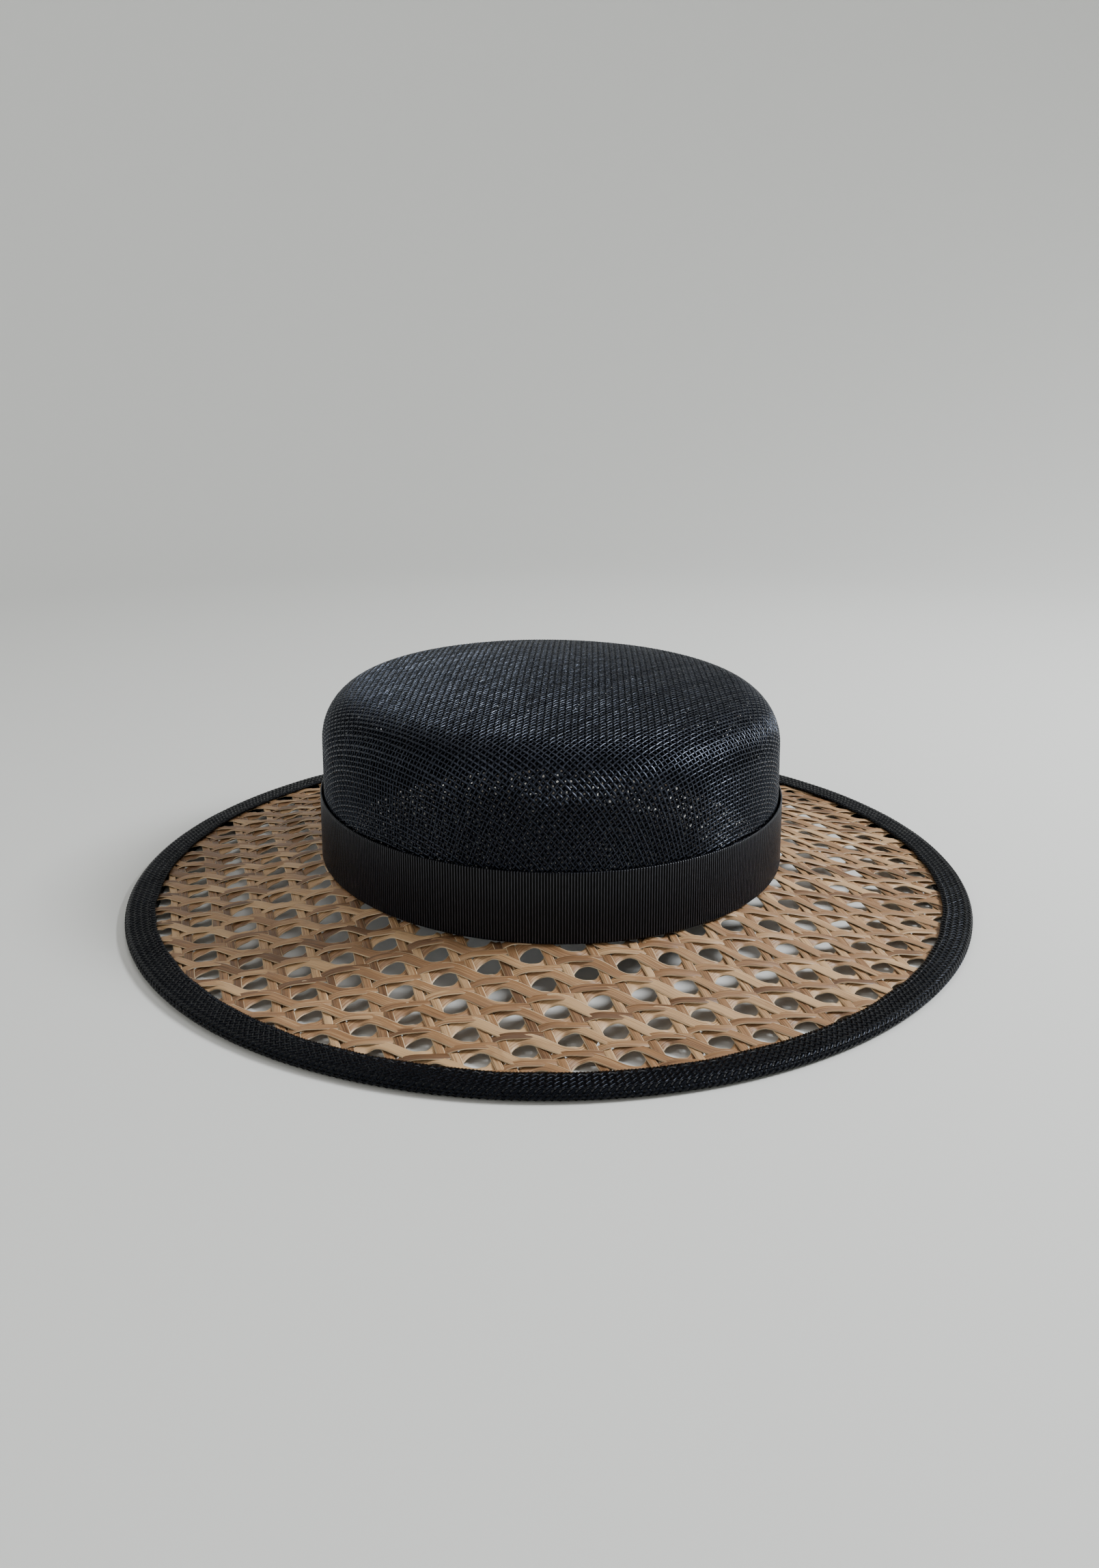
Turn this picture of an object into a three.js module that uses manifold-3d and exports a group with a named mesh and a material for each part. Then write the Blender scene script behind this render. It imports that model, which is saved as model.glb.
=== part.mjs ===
// A low-crowned sun hat standing on its brim: black woven crown with a ribbon, open straw brim, bound edge.
// Millimetres, +Z up, the hat's front towards -Y, origin on the floor below the middle of the hat.
import * as THREE from "three";
import { mergeVertices } from "three/addons/utils/BufferGeometryUtils.js";
import Module from "manifold-3d";

// Ovals, measured outside: the crown at its foot and the brim at its bound edge
const CROWN_WIDTH = 176;
const CROWN_LENGTH = 188;
const BRIM_WIDTH = 325;
const BRIM_LENGTH = 322;

// Crown
const CROWN_HEIGHT = 69;
const CROWN_WALL = 1.2;
const CROWN_TAPER = 1.3;
const CORNER_RADIUS = 20;
const TOP_SLOPE = THREE.MathUtils.degToRad(7);

// Brim
const STRAW_THICKNESS = 1.2;
const BRIM_DROOP = 12.5;
const DROOP_CURVE = 1.5;

// Trim
const BINDING_WIDTH = 11;
const BINDING_WALL = 1;
const RIBBON_WIDTH = 25;
const RIBBON_WALL = 1;

// Clearance left between neighbouring pieces
const SEAM_GAP = 0.3;

// Open weave of the brim: spacing of the gaps and the size of one gap
const GAP_PITCH_X = 14.3;
const GAP_PITCH_Y = 13;
const GAP_LENGTH = 8.6;
const GAP_WIDTH = 7;
const GAP_STEPS = 4;
const GAP_RIM = 1.5;

// Facets
const AROUND = 64;
const CORNER_STEPS = 6;
const TOP_STEPS = 3;
const BRIM_STEPS = 4;
const FOLD_STEPS = 6;

// Heights and half widths that follow from the sizes above
const CROWN_FOOT = CROWN_WIDTH / 2;
const BRIM_EDGE = BRIM_WIDTH / 2;
const BINDING_HEIGHT = 2 * (BINDING_WALL + SEAM_GAP) + STRAW_THICKNESS;
const BINDING_START = BRIM_EDGE - BINDING_WIDTH;
const STRAW_EDGE = BRIM_EDGE - BINDING_HEIGHT / 2;
const STRAW_INNER = CROWN_FOOT - CROWN_WALL;
const FOOT_Z = brimMiddle(STRAW_INNER) + STRAW_THICKNESS / 2 + SEAM_GAP;
const TOP_Z = FOOT_Z + CROWN_HEIGHT;
const CORNER_TURN = Math.PI / 2 - TOP_SLOPE;
const CORNER_MIDDLE = CROWN_FOOT - CROWN_TAPER - CORNER_RADIUS;
const TOP_EDGE = CORNER_MIDDLE + CORNER_RADIUS * Math.cos(CORNER_TURN);
const TOP_RISE = (TOP_EDGE * Math.tan(TOP_SLOPE)) / 2;
const CORNER_Z = TOP_Z - TOP_RISE - CORNER_RADIUS * Math.sin(CORNER_TURN);

const wasm = await Module();
wasm.setup();

// Half length of the oval of a given half width: the head's oval at the crown, rounder towards the edge.
function halfLength(halfWidth) {
  if (halfWidth <= CROWN_FOOT) return (halfWidth * CROWN_LENGTH) / CROWN_WIDTH;
  const share = (halfWidth - CROWN_FOOT) / (BRIM_EDGE - CROWN_FOOT);
  return THREE.MathUtils.lerp(CROWN_LENGTH, BRIM_LENGTH, share) / 2;
}

// Height of the middle of the straw: falling steeply at the crown, flat under the binding.
function brimMiddle(halfWidth) {
  const share = (BINDING_START - halfWidth) / (BINDING_START - STRAW_INNER);
  return BINDING_HEIGHT / 2 + BRIM_DROOP * Math.max(share, 0) ** DROOP_CURVE;
}

// A profile of half widths and heights swept round the hat's ovals.
function ovalSweep(profile) {
  const geometry = new THREE.LatheGeometry(profile, AROUND).rotateX(Math.PI / 2);
  const place = geometry.getAttribute("position");
  for (let i = 0; i < place.count; i += 1) {
    const halfWidth = Math.hypot(place.getX(i), place.getY(i));
    if (halfWidth > 0) place.setY(i, (place.getY(i) * halfLength(halfWidth)) / halfWidth);
  }
  geometry.computeVertexNormals();
  return geometry;
}

function closed(points) {
  return [...points, points[0].clone()];
}

// One face of the crown, from the middle of the top down to the foot; the inset is zero on the outer face.
function crownFace(inset) {
  const reach = CORNER_RADIUS - inset;
  const points = [];
  for (let i = 0; i < TOP_STEPS; i += 1) {
    const share = i / TOP_STEPS;
    points.push(new THREE.Vector2(TOP_EDGE * share, TOP_Z - inset - TOP_RISE * share ** 2));
  }
  for (let i = 0; i <= CORNER_STEPS; i += 1) {
    const angle = CORNER_TURN * (1 - i / CORNER_STEPS);
    const r = CORNER_MIDDLE + reach * Math.cos(angle);
    points.push(new THREE.Vector2(r, CORNER_Z + reach * Math.sin(angle)));
  }
  points.push(new THREE.Vector2(CROWN_FOOT - inset, FOOT_Z));
  return points;
}

function crown() {
  return ovalSweep([...crownFace(CROWN_WALL), ...crownFace(0).reverse()]);
}

// Half width of the outside of the crown's wall at a height on its straight part.
function wallAt(z) {
  return CROWN_FOOT - (CROWN_TAPER * (z - FOOT_Z)) / (CORNER_Z - FOOT_Z);
}

// A flat ribbon that follows the crown's wall, between two offsets from its outside.
function ribbon(bottomZ, innerOffset, outerOffset) {
  const topZ = bottomZ + RIBBON_WIDTH;
  const corner = (z, offset) => new THREE.Vector2(wallAt(z) + offset, z);
  return ovalSweep(
    closed([
      corner(bottomZ, innerOffset),
      corner(bottomZ, outerOffset),
      corner(topZ, outerOffset),
      corner(topZ, innerOffset),
    ]),
  );
}

function crownBand() {
  return ribbon(FOOT_Z, SEAM_GAP, SEAM_GAP + RIBBON_WALL);
}

function headRibbon() {
  const outer = -(CROWN_WALL + SEAM_GAP);
  return ribbon(brimMiddle(STRAW_INNER) - STRAW_THICKNESS / 2, outer - RIBBON_WALL, outer);
}

// Strip folded over the brim's edge: two flat legs joined by a round fold, open towards the crown.
function brimBinding() {
  const foldRadius = BINDING_HEIGHT / 2;
  const fold = [];
  for (let i = 0; i <= FOLD_STEPS; i += 1) {
    const angle = Math.PI * (i / FOLD_STEPS - 0.5);
    const r = BRIM_EDGE - foldRadius * (1 - Math.cos(angle));
    fold.push(new THREE.Vector2(r, foldRadius * (1 + Math.sin(angle))));
  }
  const upper = BINDING_HEIGHT - BINDING_WALL;
  const groove = STRAW_EDGE + SEAM_GAP;
  return ovalSweep(
    closed([
      new THREE.Vector2(BINDING_START, 0),
      ...fold,
      new THREE.Vector2(BINDING_START, BINDING_HEIGHT),
      new THREE.Vector2(BINDING_START, upper),
      new THREE.Vector2(groove, upper),
      new THREE.Vector2(groove, BINDING_WALL),
      new THREE.Vector2(BINDING_START, BINDING_WALL),
    ]),
  );
}

function solidOf(geometry) {
  const bare = new THREE.BufferGeometry();
  bare.setAttribute("position", geometry.getAttribute("position"));
  bare.setIndex(geometry.index);
  const merged = mergeVertices(bare);
  const vertProperties = merged.getAttribute("position").array;
  const triVerts = new Uint32Array(merged.index.array);
  return new wasm.Manifold(new wasm.Mesh({ numProp: 3, vertProperties, triVerts }));
}

function geometryOf(solid) {
  const mesh = solid.getMesh();
  const geometry = new THREE.BufferGeometry();
  geometry.setAttribute("position", new THREE.BufferAttribute(mesh.vertProperties, 3));
  geometry.setIndex(new THREE.BufferAttribute(mesh.triVerts, 1));
  geometry.computeVertexNormals();
  return geometry;
}

// One gap between two strips that part and meet again: a lens with its points to the left and right.
function gapPrism(x, y) {
  const outline = new THREE.Shape();
  for (const side of [1, -1]) {
    for (let i = 0; i < GAP_STEPS; i += 1) {
      const along = side * GAP_LENGTH * (0.5 - i / GAP_STEPS);
      const across = (side * GAP_WIDTH * Math.cos((Math.PI * along) / GAP_LENGTH)) / 2;
      if (side === 1 && i === 0) outline.moveTo(x + along, y + across);
      else outline.lineTo(x + along, y + across);
    }
  }
  outline.closePath();
  return new THREE.ExtrudeGeometry(outline, { depth: TOP_Z, bevelEnabled: false });
}

// True where a whole gap fits on the straw between the crown's foot and the binding.
function gapFits(x, y) {
  const inside = (px, py, halfWidth) => Math.hypot(px / halfWidth, py / halfLength(halfWidth)) < 1;
  const corners = [];
  for (const px of [x - GAP_LENGTH / 2, x + GAP_LENGTH / 2]) {
    for (const py of [y - GAP_WIDTH / 2, y + GAP_WIDTH / 2]) corners.push([px, py]);
  }
  const nearest = CROWN_FOOT + RIBBON_WALL + GAP_RIM;
  const furthest = BINDING_START - GAP_RIM;
  return corners.every(([px, py]) => !inside(px, py, nearest) && inside(px, py, furthest));
}

// The straw layer with every second gap of the weave cut through, in a chequer.
function brim() {
  const face = (side) => {
    const points = [];
    for (let i = 0; i <= BRIM_STEPS; i += 1) {
      const r = THREE.MathUtils.lerp(STRAW_INNER, BINDING_START, i / BRIM_STEPS);
      points.push(new THREE.Vector2(r, brimMiddle(r) + (side * STRAW_THICKNESS) / 2));
    }
    points.push(new THREE.Vector2(STRAW_EDGE, brimMiddle(STRAW_EDGE) + (side * STRAW_THICKNESS) / 2));
    return points;
  };
  let straw = solidOf(ovalSweep(closed([...face(-1), ...face(1).reverse()])));
  const columns = Math.ceil(BRIM_WIDTH / 2 / GAP_PITCH_X);
  const rows = Math.ceil(BRIM_LENGTH / 2 / GAP_PITCH_Y);
  for (let column = -columns; column < columns; column += 1) {
    for (let row = -rows; row <= rows; row += 1) {
      const x = (column + 0.5) * GAP_PITCH_X;
      const y = row * GAP_PITCH_Y;
      if ((column + row) % 2 === 0 && gapFits(x, y)) straw = straw.subtract(solidOf(gapPrism(x, y)));
    }
  }
  return geometryOf(straw);
}

function piece(name, geometry, color, roughness) {
  const mesh = new THREE.Mesh(geometry, new THREE.MeshStandardMaterial({ color, roughness, metalness: 0 }));
  mesh.name = name;
  return mesh;
}

const hat = new THREE.Group();
hat.add(
  piece("crown", crown(), 0x14151a, 0.45),
  piece("crown_band", crownBand(), 0x0d0d11, 0.55),
  piece("brim", brim(), 0xa8835a, 0.6),
  piece("brim_binding", brimBinding(), 0x111217, 0.55),
  piece("head_ribbon", headRibbon(), 0x0b0b0d, 0.6),
);

export default hat;
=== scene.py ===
"""Sun hat: a blocked crown of open black cloth, a ribbed ribbon, and a bound brim of twined straw."""

import logging
import math
from collections.abc import Callable
from dataclasses import dataclass, field
from enum import Enum

import bmesh
import bpy
import numpy as np
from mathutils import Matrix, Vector


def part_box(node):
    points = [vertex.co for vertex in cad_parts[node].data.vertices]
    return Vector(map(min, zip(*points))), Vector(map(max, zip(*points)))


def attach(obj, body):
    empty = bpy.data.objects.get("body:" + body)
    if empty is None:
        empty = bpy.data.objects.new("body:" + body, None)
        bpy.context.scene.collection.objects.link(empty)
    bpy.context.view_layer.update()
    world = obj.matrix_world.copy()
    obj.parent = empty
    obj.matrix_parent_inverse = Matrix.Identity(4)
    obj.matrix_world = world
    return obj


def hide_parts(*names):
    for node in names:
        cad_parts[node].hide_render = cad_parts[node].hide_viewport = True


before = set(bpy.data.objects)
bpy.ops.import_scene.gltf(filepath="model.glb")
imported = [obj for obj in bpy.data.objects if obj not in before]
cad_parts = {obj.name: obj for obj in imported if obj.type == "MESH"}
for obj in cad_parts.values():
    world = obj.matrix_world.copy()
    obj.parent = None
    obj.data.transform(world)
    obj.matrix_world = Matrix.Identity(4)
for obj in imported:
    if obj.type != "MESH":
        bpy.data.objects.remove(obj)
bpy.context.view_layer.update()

BODY = "root"
MM = 0.001
LOG = logging.getLogger("sun_hat")

Array = np.ndarray
Chance = np.random.Generator
Colour = tuple[float, float, float]
Range = tuple[float, float]
Piece = bpy.types.Object
Material = bpy.types.Material
Node = bpy.types.Node
NodeTree = bpy.types.NodeTree
Socket = bpy.types.NodeSocket

# Strengths and rates of the three waves that make up a wobble
WAVE_STRENGTHS = (1.0, 0.6, 0.4)
WAVE_RATES = (1.0, 1.73, 3.1)

# Search for the oval through a point: halvings, least half width, and most as a share of the brim's
HALVINGS = 34
LEAST_OVAL = 0.1 * MM
MOST_OVAL = 1.2

# Corners of a bent ring nearer than this are one corner, and a distance is never taken as less than tiny
WELD = 1e-7
TINY = 1e-6

# Shades of the cloth's threads, and how far on in the grain's pattern a thread may start
THREAD_SHADES = (0.2, 1.0)
THREAD_GRAIN = 0.4

# Range that most of a noise's values fall in, and the full range of a share
NOISE_RANGE = (0.3, 0.7)
FULL = (0.0, 1.0)


class Lay(Enum):
    """Which way a thread of the crown's cloth runs in the flat cut."""

    WARP = "warp"
    WEFT = "weft"


class Face(Enum):
    """The two faces of the brim."""

    TOP = 1
    UNDER = -1


class Section(Enum):
    """Unit outlines of a strand, across and up, anticlockwise."""

    STRAW = (
        (1.0, 0.0), (0.74, 0.95), (0.0, 0.45), (-0.74, 0.95),
        (-1.0, 0.0), (-0.74, -0.95), (0.0, -0.45), (0.74, -0.95),
    )
    RIDGE = ((1.0, -0.6), (0.0, 1.0), (-1.0, -0.6))
    STITCH = ((1.0, 0.0), (0.5, 0.87), (-0.5, 0.87), (-1.0, 0.0), (-0.5, -0.87), (0.5, -0.87))

    def outline(self) -> Array:
        """The outline as rows of across and up."""
        return np.array(self.value)


@dataclass(frozen=True)
class Wander:
    """A slow wobble along a strand: how far it reaches, and the length of one slow wave in metres."""

    reach: float
    wave: float

    def along(self, rng: Chance, travel: Array) -> Array:
        """The wobble of one strand.

        Args:
            rng: the seeded source of chance.
            travel: distances along the strand, in metres.

        Returns:
            The wobble at each distance.
        """
        turns = 2 * math.pi * travel / self.wave
        phases = rng.uniform(0, 2 * math.pi, len(WAVE_RATES))
        waves = zip(WAVE_STRENGTHS, WAVE_RATES, phases)
        wobble = sum(strength * np.sin(rate * turns + phase) for strength, rate, phase in waves)
        return self.reach * wobble / sum(WAVE_STRENGTHS)


def travelled(points: Array) -> Array:
    """The distance along a line at each of its points."""
    return np.concatenate([[0], np.cumsum(np.linalg.norm(np.diff(points, axis=0), axis=1))])


@dataclass
class HatForm:
    """The hat's main sizes in metres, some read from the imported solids, and the surfaces they give."""

    crown_wall: float = 1.2 * MM
    crown_taper: float = 1.3 * MM
    corner_radius: float = 20 * MM
    top_slope: float = math.radians(7)
    straw_thickness: float = 1.2 * MM
    binding_width: float = 11 * MM
    droop_curve: float = 1.5
    foot: float = field(init=False)
    foot_length: float = field(init=False)
    foot_z: float = field(init=False)
    top_z: float = field(init=False)
    edge: float = field(init=False)
    edge_length: float = field(init=False)
    binding_height: float = field(init=False)
    straw_edge: float = field(init=False)
    droop: float = field(init=False)

    def __post_init__(self) -> None:
        """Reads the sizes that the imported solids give."""
        low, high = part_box("crown")
        self.foot, self.foot_length = high.x, high.y
        self.foot_z, self.top_z = low.z, high.z
        low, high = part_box("brim_binding")
        self.edge, self.edge_length, self.binding_height = high.x, high.y, high.z
        low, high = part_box("brim")
        self.straw_edge = high.x
        self.droop = high.z - self.straw_thickness / 2 - self.binding_height / 2

    @property
    def foot_stretch(self) -> float:
        """How many times as long as wide the crown's oval is."""
        return self.foot_length / self.foot

    @property
    def straw_inner(self) -> float:
        """Half the width of the straw's own opening."""
        return self.foot - self.crown_wall

    @property
    def binding_start(self) -> float:
        """Half the width where the binding begins on the straw."""
        return self.edge - self.binding_width

    @property
    def corner_turn(self) -> float:
        """The angle that the crown's rounded corner turns through."""
        return math.pi / 2 - self.top_slope

    @property
    def corner_middle(self) -> float:
        """Half the width at the middle of the rounded corner."""
        return self.foot - self.crown_taper - self.corner_radius

    @property
    def top_rise(self) -> float:
        """How far the crown's top rises from its edge to its middle."""
        top_edge = self.corner_middle + self.corner_radius * math.cos(self.corner_turn)
        return top_edge * math.tan(self.top_slope) / 2

    @property
    def corner_z(self) -> float:
        """The height of the middle of the rounded corner."""
        return self.top_z - self.top_rise - self.corner_radius * math.sin(self.corner_turn)

    def half_length(self, radius: Array) -> Array:
        """Half the length of an oval of the hat.

        Args:
            radius: half the oval's width.

        Returns:
            Half its length.
        """
        share = np.clip((radius - self.foot) / (self.edge - self.foot), 0, 1)
        outer = self.foot_length + (self.edge_length - self.foot_length) * share
        return np.where(radius <= self.foot, radius * self.foot_stretch, outer)

    def oval_at(self, x: Array, y: Array) -> Array:
        """The half width of the oval through each point.

        Args:
            x: places across the hat.
            y: places along the hat.

        Returns:
            The half widths.
        """
        low, high = np.full(x.shape, LEAST_OVAL), np.full(x.shape, MOST_OVAL * self.edge)
        for _ in range(HALVINGS):
            middle = (low + high) / 2
            outside = (x / middle) ** 2 + (y / self.half_length(middle)) ** 2 > 1
            low, high = np.where(outside, middle, low), np.where(outside, high, middle)
        return (low + high) / 2

    def brim_middle(self, x: Array, y: Array) -> Array:
        """The height of the middle of the straw.

        Args:
            x: places across the hat.
            y: places along the hat.

        Returns:
            The height at each place.
        """
        radius = self.oval_at(x, y)
        run = np.clip((self.binding_start - radius) / (self.binding_start - self.straw_inner), 0, None)
        return self.binding_height / 2 + self.droop * run ** self.droop_curve

    def brim_normal(self, x: Array, y: Array, step: float = 0.4 * MM) -> Array:
        """The upward normal of the straw.

        Args:
            x: places across the hat.
            y: places along the hat.
            step: how far to each side the slope is taken.

        Returns:
            A row for each place.
        """
        slope_x = (self.brim_middle(x + step, y) - self.brim_middle(x - step, y)) / (2 * step)
        slope_y = (self.brim_middle(x, y + step) - self.brim_middle(x, y - step)) / (2 * step)
        normal = np.stack([-slope_x, -slope_y, np.ones_like(x)], axis=1)
        return normal / np.linalg.norm(normal, axis=1, keepdims=True)

    def wall_at(self, height: Array) -> Array:
        """The half width of the crown's outer wall at each height."""
        return self.foot - self.crown_taper * (height - self.foot_z) / (self.corner_z - self.foot_z)

    def crown_meridian(self, inset: float, steps: int = 60) -> tuple[Array, Array, Array]:
        """The crown's line from the middle of its top to its foot.

        Args:
            inset: how far the line lies inside the crown's outer face.
            steps: how many steps each of its three stretches has.

        Returns:
            The distance along the line, the half width and the height at each point.
        """
        middle, bend = self.corner_middle, self.corner_radius - inset
        share = np.linspace(0, 1, steps)
        angles = self.corner_turn * (1 - share[1:])
        radius = np.concatenate([
            (middle + bend * math.cos(self.corner_turn)) * share,
            middle + bend * np.cos(angles),
            middle + bend + self.crown_taper * share[1:],
        ])
        height = np.concatenate([
            self.top_z - inset - self.top_rise * share ** 2,
            self.corner_z + bend * np.sin(angles),
            self.corner_z + (self.foot_z - self.corner_z) * share[1:],
        ])
        return travelled(np.stack([radius, height], axis=1)), radius, height


def link(name: str, mesh: bpy.types.Mesh) -> Piece:
    """Puts a mesh in the scene.

    Args:
        name: the object's name.
        mesh: the mesh.

    Returns:
        The object, at the origin.
    """
    piece = bpy.data.objects.new(name, mesh)
    bpy.context.scene.collection.objects.link(piece)
    return piece


@dataclass
class StrandSet:
    """Strands swept one by one along their paths and joined into one mesh."""

    section: Section
    points: list[Array] = field(default_factory=list)
    faces: list[list[int]] = field(default_factory=list)
    maps: list[Array] = field(default_factory=list)
    tints: list[Array] = field(default_factory=list)
    rims: list[Array] = field(default_factory=list)
    count: int = 0

    def add(self, path: Array, up: Array, half_width: Array | float, half_depth: Array | float,
            tint: Array | float, tilt: Array | float, offset: float) -> None:
        """Sweeps the section along one path.

        Args:
            path: the middle line, a row for each point.
            up: the direction away from the surface at each point.
            half_width: half the strand's width, at each point or all along.
            half_depth: half its thickness, in the same way.
            tint: its shade, 0 dark to 1 pale, in the same way.
            tilt: how far it leans about its own line, in radians, in the same way.
            offset: where this strand lies in the grain's pattern.
        """
        outline = self.section.outline()
        sides, steps = len(outline), len(path)
        given = (half_width, half_depth, tint, tilt)
        half_width, half_depth, tint, tilt = (np.broadcast_to(value, steps) for value in given)
        along = np.gradient(path, axis=0)
        along /= np.linalg.norm(along, axis=1, keepdims=True)
        across = np.cross(up, along)
        across /= np.linalg.norm(across, axis=1, keepdims=True)
        above = np.cross(along, across)
        lean_c, lean_s = np.cos(tilt)[:, None], np.sin(tilt)[:, None]
        across, above = across * lean_c + above * lean_s, above * lean_c - across * lean_s
        wide = half_width[:, None] * outline[:, 0]
        deep = half_depth[:, None] * outline[:, 1]
        swept = path[:, None] + across[:, None] * wide[..., None] + above[:, None] * deep[..., None]
        self.points.append(swept.reshape(-1, 3))
        lengths = np.repeat(travelled(path), sides)
        self.maps.append(np.stack([lengths + offset, (wide + offset).ravel()], axis=1))
        self.tints.append(np.repeat(tint, sides))
        self.rims.append(np.tile(np.abs(outline[:, 0]), steps))
        first = self.count + sides * np.arange(steps - 1)[:, None]
        here, following = np.arange(sides), np.roll(np.arange(sides), -1)
        corners = [first + here, first + following, first + sides + following, first + sides + here]
        self.faces.extend(np.stack(corners, axis=2).reshape(-1, 4).tolist())
        last = self.count + sides * (steps - 1)
        self.faces.append([self.count + side for side in reversed(range(sides))])
        self.faces.append([last + side for side in range(sides)])
        self.count += sides * steps

    def build(self, name: str) -> Piece:
        """Makes one mesh object of all the strands.

        Args:
            name: the piece's name.

        Returns:
            The object, smooth shaded, with its map of lengths, its shade and its rim.
        """
        mesh = bpy.data.meshes.new(name)
        mesh.from_pydata(np.concatenate(self.points).tolist(), [], self.faces)
        corners = np.empty(len(mesh.loops), dtype=np.int32)
        mesh.loops.foreach_get("vertex_index", corners)
        layer = mesh.uv_layers.new(name="lengths")
        layer.data.foreach_set("uv", np.concatenate(self.maps)[corners].astype(np.float32).ravel())
        for label, values in (("tint", self.tints), ("rim", self.rims)):
            attribute = mesh.attributes.new(label, "FLOAT", "POINT")
            attribute.data.foreach_set("value", np.concatenate(values).astype(np.float32))
        mesh.polygons.foreach_set("use_smooth", np.ones(len(mesh.polygons), dtype=bool))
        mesh.update()
        return link(name, mesh)


def bent_ring(name: str, outline: Array, steps: int, length: float,
              bend: Callable[[float, int], tuple[float, ...]]) -> Piece:
    """Bends a flat grid round the hat and round a closed outline.

    Args:
        name: the piece's name.
        outline: the corners across the ring, in order.
        steps: how many steps go round the hat.
        length: the length of the strip that goes round the hat.
        bend: gives the place of a corner of the outline at an angle round the hat.

    Returns:
        The closed ring, with its map of lengths.
    """
    rows = len(outline)
    reach = travelled(np.vstack([outline, outline[:1]]))
    ring = bmesh.new()
    # The flat grid is one unit wide, with its middle at the origin
    bmesh.ops.create_grid(ring, x_segments=steps, y_segments=rows, size=0.5)
    lengths = ring.loops.layers.uv.new("lengths")
    for face in ring.faces:
        face.smooth = True
        for corner in face.loops:
            row = round((corner.vert.co.y + 0.5) * rows)
            corner[lengths].uv = ((corner.vert.co.x + 0.5) * length, reach[row])
    for vert in ring.verts:
        turn = 2 * math.pi * (round((vert.co.x + 0.5) * steps) % steps) / steps
        vert.co = bend(turn, round((vert.co.y + 0.5) * rows) % rows)
    bmesh.ops.remove_doubles(ring, verts=ring.verts, dist=WELD)
    bmesh.ops.recalc_face_normals(ring, faces=ring.faces)
    mesh = bpy.data.meshes.new(name)
    ring.to_mesh(mesh)
    ring.free()
    return link(name, mesh)


class NodeKit:
    """Small helpers that lay out shader nodes."""

    def __init__(self, tree: NodeTree) -> None:
        """Keeps the tree that the nodes go in."""
        self.tree = tree

    def node(self, kind: str, **settings: object) -> Node:
        """Adds a node.

        Args:
            kind: the node's type.
            settings: the properties to set on it.

        Returns:
            The node.
        """
        made = self.tree.nodes.new(kind)
        for name, value in settings.items():
            setattr(made, name, value)
        return made

    def join(self, source: Socket, target: Socket) -> None:
        """Links one socket to another."""
        self.tree.links.new(source, target)

    def feed(self, target: Socket, value: object) -> None:
        """Links a socket, or sets a plain value on it.

        Args:
            target: the socket.
            value: another socket, or a plain value.
        """
        if isinstance(value, Socket):
            self.join(value, target)
        else:
            target.default_value = value

    def attribute(self, name: str) -> Socket:
        """A number that the mesh keeps at each corner under that name."""
        return self.node("ShaderNodeAttribute", attribute_name=name).outputs["Fac"]

    def maths(self, operation: str, first: object, second: object = 0.0) -> Socket:
        """A Math node's result.

        Args:
            operation: what it works out.
            first: its first number or socket.
            second: its second one.

        Returns:
            The result.
        """
        made = self.node("ShaderNodeMath", operation=operation)
        for socket, value in zip(made.inputs, (first, second)):
            self.feed(socket, value)
        return made.outputs[0]

    def ranged(self, value: Socket, old: Range, new: Range) -> Socket:
        """A value carried smoothly from one range to another.

        Args:
            value: the value.
            old: the range that it comes from.
            new: the range that it goes to.

        Returns:
            The new value.
        """
        made = self.node("ShaderNodeMapRange", interpolation_type="SMOOTHSTEP")
        for socket, number in zip(made.inputs, (value, *old, *new)):
            self.feed(socket, number)
        return made.outputs[0]

    def mixed(self, share: Socket, first: object, second: object) -> Socket:
        """Two colours mixed by a share.

        Args:
            share: how much of the second colour there is.
            first: a colour or its socket.
            second: another colour or its socket.

        Returns:
            The mixed colour.
        """
        made = self.node("ShaderNodeMix", data_type="RGBA")
        self.feed(made.inputs[0], share)
        for socket, value in ((made.inputs[6], first), (made.inputs[7], second)):
            self.feed(socket, (*value, 1.0) if isinstance(value, tuple) else value)
        return made.outputs[2]

    def noise(self, vector: Socket, scale: float, detail: float) -> Socket:
        """A noise texture's value at a place.

        Args:
            vector: the place.
            scale: how fine the noise is.
            detail: how many finer layers it has.

        Returns:
            The value.
        """
        made = self.node("ShaderNodeTexNoise")
        made.inputs["Detail"].default_value = detail
        made.inputs["Scale"].default_value = scale
        self.join(vector, made.inputs["Vector"])
        return made.outputs[0]


def new_group(name: str, inputs: tuple[str, ...],
              outputs: tuple[str, ...]) -> tuple[NodeTree, NodeKit, Node, Node]:
    """Starts a shader node group that takes a place on the surface and some numbers.

    Args:
        name: the group's name.
        inputs: the numbers that it takes.
        outputs: the numbers that it puts out.

    Returns:
        The group, its node helpers, its input node and its output node.
    """
    group = bpy.data.node_groups.new(name, "ShaderNodeTree")
    group.interface.new_socket("Place", in_out="INPUT", socket_type="NodeSocketVector")
    for way, labels in (("INPUT", inputs), ("OUTPUT", outputs)):
        for label in labels:
            group.interface.new_socket(label, in_out=way, socket_type="NodeSocketFloat")
    kit = NodeKit(group)
    return group, kit, kit.node("NodeGroupInput"), kit.node("NodeGroupOutput")


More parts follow.
